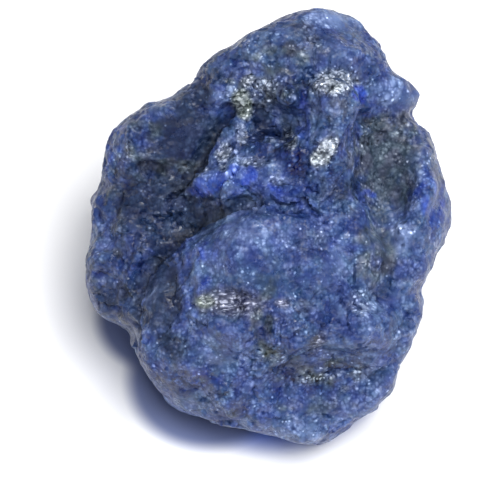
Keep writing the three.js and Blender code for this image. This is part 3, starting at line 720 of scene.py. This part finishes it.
def roughen(mesh, stone):
    """Breaks a smooth mesh into crystals, and keeps what the material needs to know of them."""
    start = mesh_points(mesh)
    normals = neighbour_mean(mesh, mesh_normals(mesh), NORMAL_ROUNDS)
    normals /= np.linalg.norm(normals, axis=1, keepdims=True)
    u, v = face_coordinates(start)
    showing = smoothstep(-0.1, 0.35, normals @ FACE_W)
    smooth = smoothstep(0.05, 0.5, cloud(start, 4.0 * MM, 2, 5.0)) * (1 - showing)
    for centre, half in SMOOTH_FACES:
        smooth = np.maximum(smooth, showing * patch_shade(u, v, centre, half))
    base = smoothstep(0.2 * MM, 1.4 * MM, start[:, 2])  # the resting face stays flat
    facing = np.abs(normals @ FACE_W)
    amount = stone.relief * base * (1 - 0.7 * smooth) * (0.4 + 0.6 * facing)

    chunks, chunk_tint = broken_crystals(start, normals, stone.chunk, stone.seed)
    grains, grain_tint = broken_crystals(start, normals, stone.grain, stone.seed + 1)
    chips, chip_tint = broken_crystals(start, normals, stone.chip, stone.seed + 2)
    height = amount * (0.8 * chunks + 0.8 * grains + chips)
    height += SMOOTHED_OFF - neighbour_mean(mesh, height, HEIGHT_ROUNDS)

    stray_u, stray_v = (WANDER * cloud(start, 0.9 * MM, 2, offset) for offset in (9.0, 13.0))
    strayed = u + stray_u, v + stray_v
    half_strayed = u + 0.5 * stray_u, v + 0.5 * stray_v
    # The first mask is painted shade behind the ledges and along the cracks, the second a painted
    # highlight on the rims.
    crack_shade, rim = np.zeros(len(start)), np.zeros(len(start))
    for depth, reach, line in LEDGES:
        shade = showing * ledge_shade(*half_strayed, line, reach)
        height -= depth * MM * shade * base
        crack_shade = np.maximum(crack_shade, shade * min(1, LEDGE_DARKNESS * depth))
    for push, centre, half in PUSHES:
        height += push * MM * (1 - facing ** 2) * patch_shade(u, v, centre, half) * base
    for depth, width, line in CRACKS:
        shade = showing * line_shade(*strayed, line, width)
        height -= CRACK_CUT * depth * MM * shade * base
        crack_shade = np.maximum(crack_shade, shade * min(1, CRACK_DARKNESS * depth))
    for strength, line in RIMS:
        rim = np.maximum(rim, strength * line_shade(*half_strayed, line, RIM_WIDTH))
    low, high = np.array(CAD_BOX)
    set_points(mesh, np.clip(start + normals * height[:, None], low, high))

    now = mesh_points(mesh)
    for name, points in (("edge", start), ("raised", start), ("ridge", now)):
        store(mesh, name, standing_out(mesh, points, normals, *SURROUNDINGS[name]))
    store(mesh, "tint", 0.5 * chunk_tint + 0.5 * grain_tint)
    store(mesh, "crystal", chip_tint)
    store(mesh, "smooth_face", smooth)
    store(mesh, "crack_shade", crack_shade)
    store(mesh, "rim", rim)
    for kind, patches in PATCHES.items():
        cover = np.zeros(len(start))
        for centre, half, turn, strength in patches:
            cover = np.maximum(cover, strength * patch_shade(u, v, centre, half, turn))
        store(mesh, kind, cover * showing)


class MaterialNodes:
    """Adds nodes to a material and joins them up."""

    def __init__(self, name):
        self.material = bpy.data.materials.new(name)
        self.material.use_nodes = True
        self.tree = self.material.node_tree
        self.tree.nodes.clear()

    def add(self, kind, inputs=(), **settings):
        """A node with its settings, and its inputs joined or set."""
        made = self.tree.nodes.new(kind)
        for name, value in settings.items():
            setattr(made, name, value)
        for name, value in dict(inputs).items():
            if isinstance(value, bpy.types.NodeSocket):
                self.tree.links.new(value, made.inputs[name])
            elif value is not None:
                made.inputs[name].default_value = value
        return made

    def attribute(self, name):
        """One number of the mesh's points."""
        return self.add("ShaderNodeAttribute", attribute_name=name).outputs["Fac"]

    def calculate(self, operation, a, b=None, c=None):
        """A sum, product or other result of numbers."""
        inputs = {i: x for i, x in enumerate((a, b, c)) if x is not None}
        return self.add("ShaderNodeMath", inputs, operation=operation).outputs[0]

    def ranged(self, value, low, high, to_low=0.0, to_high=1.0):
        """A number taken smoothly from one range to another."""
        inputs = {
            "Value": value, "From Min": low, "From Max": high, "To Min": to_low, "To Max": to_high,
        }
        made = self.add("ShaderNodeMapRange", inputs, interpolation_type="SMOOTHSTEP")
        return made.outputs["Result"]

    def vector(self, operation, a, b=None, scale=None, output="Vector"):
        """A sum, product or other result of vectors."""
        inputs = {0: a, 1: b, "Scale": scale}
        made = self.add("ShaderNodeVectorMath", inputs, operation=operation)
        return made.outputs[output]

    def stretched(self, vector, scale, shift=None):
        """Places scaled along each axis, and then shifted."""
        inputs = {"Vector": vector, "Location": shift, "Scale": scale}
        return self.add("ShaderNodeMapping", inputs).outputs["Vector"]

    def mixed(self, share, a, b, blend="MIX"):
        """Two colours mixed."""
        made = self.add("ShaderNodeMix", data_type="RGBA", blend_type=blend)
        for index, value in ((0, share), (6, a), (7, b)):
            if isinstance(value, bpy.types.NodeSocket):
                self.tree.links.new(value, made.inputs[index])
            else:
                made.inputs[index].default_value = value
        return made.outputs[2]

    def lightened(self, colour, share):
        """A colour made lighter or darker by that share of its lightness, as the eye sees it."""
        seen = self.add("ShaderNodeGamma", {"Color": colour, "Gamma": 1 / DISPLAY_GAMMA}).outputs[0]
        grey = self.vector("DOT_PRODUCT", seen, EYE_WEIGHTS, output="Value")
        seen = self.vector("ADD", seen, self.calculate("MULTIPLY", grey, share))
        seen = self.vector("MAXIMUM", seen, DARKEST)
        return self.add("ShaderNodeGamma", {"Color": seen, "Gamma": DISPLAY_GAMMA}).outputs[0]

    def noise(self, where, size_mm, detail, distortion=0.0, roughness=0.5):
        """Cloudy noise whose lumps have about that size."""
        inputs = {
            "Vector": where, "Scale": 1 / size_mm, "Detail": detail,
            "Distortion": distortion, "Roughness": roughness,
        }
        return self.add("ShaderNodeTexNoise", inputs).outputs["Fac"]

    def cells(self, where, size_mm=1.0):
        """Irregular cells of about that size."""
        return self.add("ShaderNodeTexVoronoi", {"Vector": where, "Scale": 1 / size_mm})

    def chances(self, cells):
        """Three random numbers for each cell."""
        return self.add("ShaderNodeSeparateColor", {"Color": cells.outputs["Color"]}).outputs


def rgba(colour):
    """A colour with full alpha."""
    return (*colour, 1.0)


def sapphire_material(stone):
    """Granular corundum: drifts of blue and grey, grains of many sizes, sparks and flakes."""
    made = MaterialNodes("sapphire_rough")
    times, plus = "MULTIPLY", "MULTIPLY_ADD"
    place = made.add("ShaderNodeTexCoord").outputs["Object"]
    where = made.stretched(place, (1000, 1000, 1000))  # in millimetres
    drift = made.add("ShaderNodeTexNoise", {"Vector": where, "Scale": 1.6, "Detail": 2.0})
    drift = made.vector("SCALE", drift.outputs["Color"], scale=0.3)
    bent = made.vector("ADD", where, drift)

    edge, raised, ridge = made.attribute("edge"), made.attribute("raised"), made.attribute("ridge")
    tint, crystal = made.attribute("tint"), made.attribute("crystal")
    smooth = made.attribute("smooth_face")
    cover = {kind: made.attribute(kind) for kind in PATCHES}

    clouds = made.noise(where, 2.6, 2.0, 0.3)
    patchwork = made.noise(bent, 1.5, 1.5, 0.4)
    blotches = made.noise(where, 1.0, 1.5, 0.2)
    mottle = made.noise(where, 0.6, 4.0, 0.3, 0.6)
    dust = made.noise(where, 0.17, 2.0, 0.0, 0.7)

    # Royal blue and steel blue by turns, with drifts of slate (partly painted shade), grey mineral
    # and clear blue.
    blues = made.calculate(plus, tint, 0.3, made.calculate(plus, clouds, 0.8, patchwork))
    colour = made.mixed(made.ranged(blues, 0.85, 1.25), rgba(stone.royal), rgba(stone.steel))
    dull = made.calculate(plus, cover["slate"], 0.5, patchwork)
    dull = made.calculate(plus, cover["vivid"], -0.3, dull)
    dull = made.calculate(plus, cover["pale"], -0.2, dull)
    colour = made.mixed(made.ranged(dull, 0.52, 0.85, 0.0, 0.95), colour, rgba(stone.slate))
    grey = made.calculate(plus, cover["matrix"], 0.6, made.calculate(times, blotches, 0.9))
    colour = made.mixed(made.ranged(grey, 0.6, 0.98, 0.0, 0.95), colour, rgba(stone.matrix))
    clear = made.calculate(plus, blotches, -0.6, 0.6)
    clear = made.calculate(plus, cover["vivid"], 0.6, clear)
    colour = made.mixed(made.ranged(clear, 0.54, 0.95, 0.0, 0.9), colour, rgba(stone.vivid))

    # The blue leans to teal here and to violet there.
    leaning = made.ranged(made.noise(bent, 1.1, 1.0), 0.36, 0.64)
    lean = made.mixed(leaning, rgba(TEAL_LEAN), rgba(VIOLET_LEAN))
    colour = made.mixed(1.0, colour, lean, "MULTIPLY")

    # Milky bruises and painted light on raised places, frosted and yellowish places, and painted
    # shade in hollows, cracks and behind ledges.
    # Raised places get more of the pale blue, as painted light.
    milky = made.calculate(plus, cover["pale"], 0.45, made.calculate(times, patchwork, 0.6))
    milky = made.calculate(plus, blotches, 0.6, milky)
    milky = made.calculate(plus, raised, 0.2, milky)
    colour = made.mixed(made.ranged(milky, 0.86, 1.35, 0.0, 0.9), colour, rgba(stone.pale))
    frosty = made.calculate(plus, cover["flakes"], 0.8, made.calculate(times, blotches, 0.6))
    colour = made.mixed(made.ranged(frosty, 0.45, 1.25, 0.0, 0.9), colour, rgba(stone.frost))
    colour = made.mixed(made.calculate(times, cover["streaks"], 0.7), colour, rgba(stone.streak))
    golden = made.calculate(plus, cover["gold"], 0.8, made.calculate(times, blotches, 0.9))
    golden = made.calculate(times, made.ranged(golden, 0.65, 1.4), cover["gold"])
    colour = made.mixed(golden, colour, rgba(stone.gold))
    # Painted shade: hollows, cracks and the steps behind ledges are darkened towards near-black.
    crack_shade = made.calculate(times, made.attribute("crack_shade"), 0.75)
    painted_hollow_shade = made.calculate("MAXIMUM", made.ranged(raised, 0.42, 0.12, 0.0, 0.5), crack_shade)
    shade = made.mixed(cover["slate"], rgba(stone.deep), rgba(stone.dark))
    colour = made.mixed(painted_hollow_shade, colour, shade)

    # Everything finer lightens or darkens these colours by a share, and leaves their hue alone:
    # small grains first, round, soft and each as bright as chance has it.
    level = made.calculate(plus, dust, 0.3, 0.32)
    coarse = made.ranged(made.noise(where, 1.9, 1.0), 0.35, 0.65, 0.45, 1.5)
    coarse = made.calculate(plus, cover["pale"], -0.5, coarse)
    for size, strength in SMALL_GRAINS:
        grains = made.cells(bent, size)
        dot = made.ranged(grains.outputs["Distance"], 0.8, 0.15)
        dot = made.calculate(times, dot, made.chances(grains)[0])
        level = made.calculate(plus, made.calculate(times, dot, coarse), strength, level)
    level = made.calculate("POWER", level, 1 / DISPLAY_GAMMA)
    lift = made.calculate(plus, tint, 0.3, made.calculate("ADD", level, -1.15))
    # Darker where the mottle is dark and among flakes, and painted shade in the small hollows
    # between grains; less on smooth faces.
    gap = made.calculate(plus, mottle, -0.9, made.ranged(ridge, 0.5, 0.1, 0.0, 0.4))
    gap = made.calculate(plus, cover["flakes"], 0.15, gap)
    gap = made.calculate(plus, smooth, -0.15, gap)
    lift = made.calculate(plus, made.ranged(gap, -0.35, 0.1), -0.22, lift)
    lift = made.calculate(plus, cover["shade"], -0.34, lift)
    lift = made.calculate(plus, cover["light"], 0.36, lift)
    lift = made.calculate(plus, cover["pale"], 0.12, lift)
    # Painted highlight: edges that stand out, and the listed rims, are lightened.
    rim = made.ranged(mottle, 0.42, 0.62, 0.0, 0.5)
    rim = made.calculate(times, made.ranged(edge, 0.72, 0.98), rim)
    rim = made.calculate(plus, made.attribute("rim"), made.ranged(dust, 0.3, 0.6, 0.2, 0.8), rim)
    lift = made.calculate(plus, rim, 0.6, lift)

    # Veins: dark and light grains side by side.
    seams = made.cells(where, 0.22)
    seam = made.chances(seams)
    vein = made.calculate(plus, cover["matrix"], 0.25, made.calculate(times, mottle, 0.8))
    vein = made.calculate(plus, cover["flakes"], 0.7, vein)
    vein = made.calculate(plus, cover["gold"], 0.3, vein)
    vein = made.ranged(vein, 0.5, 0.95)
    speck = made.calculate(times, made.ranged(seams.outputs["Distance"], 0.6, 0.2), vein)
    vein = made.calculate(times, made.ranged(seam[0], 0.66, 0.8), vein)
    lift = made.calculate(plus, vein, -0.45, lift)
    speck = made.calculate(times, made.ranged(seam[1], 0.80, 0.98), speck)
    lift = made.calculate(plus, speck, 1.1, lift)

    # Sparks: painted glints, soft round bright points, crowded here and there.
    dim = made.calculate(times, smooth, cover["slate"])
    for size, rarity in SPARKS:
        sparks = made.cells(where, size)
        chance = made.chances(sparks)
        crowd = made.calculate(plus, patchwork, 0.45, chance[0])
        crowd = made.calculate(plus, cover["shade"], 0.05, crowd)
        crowd = made.calculate(plus, cover["slate"], 0.05, crowd)
        crowd = made.calculate(plus, dim, -0.11, crowd)
        spot = made.ranged(sparks.outputs["Distance"], 0.5, 0.1)
        spark = made.calculate(times, made.ranged(crowd, rarity, rarity + 0.12), spot)
        spark = made.calculate(times, spark, made.ranged(chance[1], 0.2, 1.0, 0.2, 1.0))
        lift = made.calculate(plus, spark, 1.35, lift)

    # Flakes: thin glassy plates lying across the face, whitish and with painted glints.
    plates = made.cells(made.stretched(bent, (2.6, 5.0, 5.0)))
    plate = made.chances(plates)
    flaky = made.calculate(plus, cover["flakes"], 0.72, made.calculate(times, plate[0], 0.7))
    flaky = made.calculate(plus, mottle, 0.9, flaky)
    flaky = made.calculate(plus, plates.outputs["Distance"], -0.5, flaky)
    flaky = made.ranged(flaky, 1.08, 1.38)
    flaky = made.calculate(times, flaky, made.ranged(plate[2], 0.0, 1.0, 0.4, 1.0))
    lift = made.calculate(plus, flaky, 1.1, lift)

    # Streaks: the same glassy plates seen edge on and with painted glints, long and low with dark
    # gaps between them.
    strokes = made.cells(made.stretched(bent, (1.4, 8.0, 8.0)))
    stroke = made.calculate(times, made.chances(strokes)[0], 0.9)
    streaky = made.calculate(plus, cover["streaks"], 0.8, stroke)
    streaky = made.calculate(plus, strokes.outputs["Distance"], -0.6, streaky)
    streaky = made.calculate(plus, mottle, 0.5, streaky)
    lift = made.calculate(plus, made.ranged(streaky, 1.0, 1.7), 1.2, lift)
    lift = made.calculate(plus, cover["streaks"], -0.28, lift)
    colour = made.lightened(colour, lift)

    # Each tiny crystal turns its own way, so that some of them glint.
    facets = made.cells(where, 0.34)
    turned = made.vector("SUBTRACT", facets.outputs["Color"], (0.5, 0.5, 0.5))
    turned = made.vector("SCALE", turned, scale=made.calculate(plus, smooth, -0.4, 0.65))
    surface = made.calculate(plus, dust, 0.35, made.calculate(times, mottle, 0.8))
    surface = made.calculate(plus, facets.outputs["Distance"], -0.4, surface)
    bumped = made.add("ShaderNodeBump", {"Height": surface, "Strength": 0.7, "Distance": 0.12 * MM})
    normal = made.vector("NORMALIZE", made.vector("ADD", bumped.outputs["Normal"], turned))

    polish = made.calculate(plus, crystal, 0.3, 0.16)
    polish = made.calculate(plus, dust, 0.2, polish)
    shader = made.add("ShaderNodeBsdfPrincipled", {
        "Base Color": colour,
        "Roughness": polish,
        "Normal": normal,
        "IOR": CORUNDUM_IOR,
        "Specular IOR Level": 0.3,
        "Subsurface Weight": 0.3,
        "Subsurface Radius": (0.5, 0.55, 0.7),
        "Subsurface Scale": 0.5 * MM,
    })
    made.add("ShaderNodeOutputMaterial", {"Surface": shader.outputs["BSDF"]})
    return made.material


def floor_material():
    """Matt white paper, painted blue and darker round the stone's foot, for light through the stone
    and its shadow.
    """
    made = MaterialNodes("white_floor")
    place = made.add("ShaderNodeTexCoord").outputs["Object"]
    colour = rgba(PAPER_COLOUR)
    # Each place paints the paper towards its colour: painted blue light and shadow near the stone,
    # fainter further out.
    for (x, y), (half_x, half_y), painted_tint in PAINTED_FOOT_LIGHT_AND_SHADOW:
        scale = (1 / (half_x * MM), 1 / (half_y * MM), 0)
        shift = (-x / half_x, -y / half_y, 0)
        away = made.vector("LENGTH", made.stretched(place, scale, shift), output="Value")
        painted_haze = made.ranged(away, 2.2, 1.0, 0.0, 0.03)
        near = made.calculate("MAXIMUM", made.ranged(away, 1.12, 0.84), painted_haze)
        colour = made.mixed(near, colour, rgba(painted_tint))
    shader = made.add("ShaderNodeBsdfPrincipled", {
        "Base Color": colour, "Roughness": 0.9, "Specular IOR Level": 0.1,
    })
    made.add("ShaderNodeOutputMaterial", {"Surface": shader.outputs["BSDF"]})
    return made.material


class SAPPHIRE_OT_stone(bpy.types.Operator):
    """Build the broken, granular surface of the stone over its solid"""

    bl_idname = "sapphire.stone"
    bl_label = "Rough Stone"

    def execute(self, context):
        stone = context.scene.sapphire_stone
        piece = copy_of_node(STONE_NODE, "rough_stone")
        apply_modifier(piece, "REMESH", mode="VOXEL", voxel_size=stone.step)
        apply_modifier(piece, "SMOOTH", factor=0.5, iterations=5)
        roughen(piece.data, stone)
        if len(piece.data.polygons) * 2 > TRIANGLE_LIMIT:
            raise RuntimeError(f"the stone has {len(piece.data.polygons)} faces, which is too many")
        select_only(piece)
        bpy.ops.object.shade_smooth_by_angle(angle=math.radians(35))
        piece.data.materials.append(sapphire_material(stone))
        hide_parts(STONE_NODE)
        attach(piece, "root")
        return {"FINISHED"}


def area_light(name, place, target, side, power):
    """A square light at a place, turned to a target."""
    bpy.ops.object.light_add(type="AREA", location=place)
    light = bpy.context.object
    light.name = name
    light.data.size = side
    light.data.energy = power
    light.rotation_euler = (Vector(target) - Vector(place)).to_track_quat("-Z", "Y").to_euler()
    return light


class SAPPHIRE_OT_stage(bpy.types.Operator):
    """Add the pale floor, the soft studio light and the camera"""

    bl_idname = "sapphire.stage"
    bl_label = "Floor, Lights and Camera"

    def execute(self, context):
        stage = context.scene.sapphire_stage
        bpy.ops.object.select_all(action="DESELECT")
        bpy.ops.mesh.primitive_plane_add(size=stage.floor_size, location=(0, 0, 0))
        floor = context.object
        floor.name = "floor"
        floor.data.materials.append(floor_material())

        middle = Vector(FACE_ORIGIN)
        key = area_light("key_light", KEY_PLACE, middle, KEY_SIDE, stage.key)
        key.visible_glossy = False
        glint = area_light("glint_light", GLINT_PLACE, middle, GLINT_SIDE, stage.glint)
        glint.visible_diffuse = False
        world = bpy.data.worlds.new("soft_surround")
        world.use_nodes = True
        background = world.node_tree.nodes["Background"]
        background.inputs["Color"].default_value = rgba(SKY_COLOUR)
        background.inputs["Strength"].default_value = stage.sky
        context.scene.world = world
        context.scene.view_settings.view_transform = "Standard"

        out = Vector(FACE_W)
        aim = middle + Vector(FACE_U) * AIM_U * MM + Vector(FACE_V) * AIM_V * MM
        bpy.ops.object.camera_add(location=aim + out * stage.camera_distance)
        camera = context.object
        camera.name = "camera"
        camera.rotation_euler = out.to_track_quat("Z", "Y").to_euler()
        camera.data.sensor_width = SENSOR_WIDTH
        camera.data.lens = SENSOR_WIDTH * stage.camera_distance / stage.view_width
        camera.data.clip_start = 10 * MM
        context.scene.camera = camera
        return {"FINISHED"}


class SAPPHIRE_PT_panel(bpy.types.Panel):
    """Lists the stone's and the stage's settings"""

    bl_label = "Rough Sapphire"
    bl_idname = "SAPPHIRE_PT_panel"
    bl_space_type = "VIEW_3D"
    bl_region_type = "UI"
    bl_category = "Sapphire"

    def draw(self, context):
        for title, settings, operator in (
            ("Stone", context.scene.sapphire_stone, SAPPHIRE_OT_stone),
            ("Stage", context.scene.sapphire_stage, SAPPHIRE_OT_stage),
        ):
            box = self.layout.box()
            box.label(text=title)
            for name in settings.__annotations__:
                box.prop(settings, name)
            box.operator(operator.bl_idname)


CLASSES = (StoneSettings, StageSettings, SAPPHIRE_OT_stone, SAPPHIRE_OT_stage, SAPPHIRE_PT_panel)


def register():
    for made in CLASSES:
        bpy.utils.register_class(made)
    bpy.types.Scene.sapphire_stone = PointerProperty(type=StoneSettings)
    bpy.types.Scene.sapphire_stage = PointerProperty(type=StageSettings)


def unregister():
    del bpy.types.Scene.sapphire_stage
    del bpy.types.Scene.sapphire_stone
    for made in reversed(CLASSES):
        bpy.utils.unregister_class(made)


def main():
    register()
    bpy.ops.sapphire.stage()
    bpy.ops.sapphire.stone()


if __name__ == "__main__":
    main()
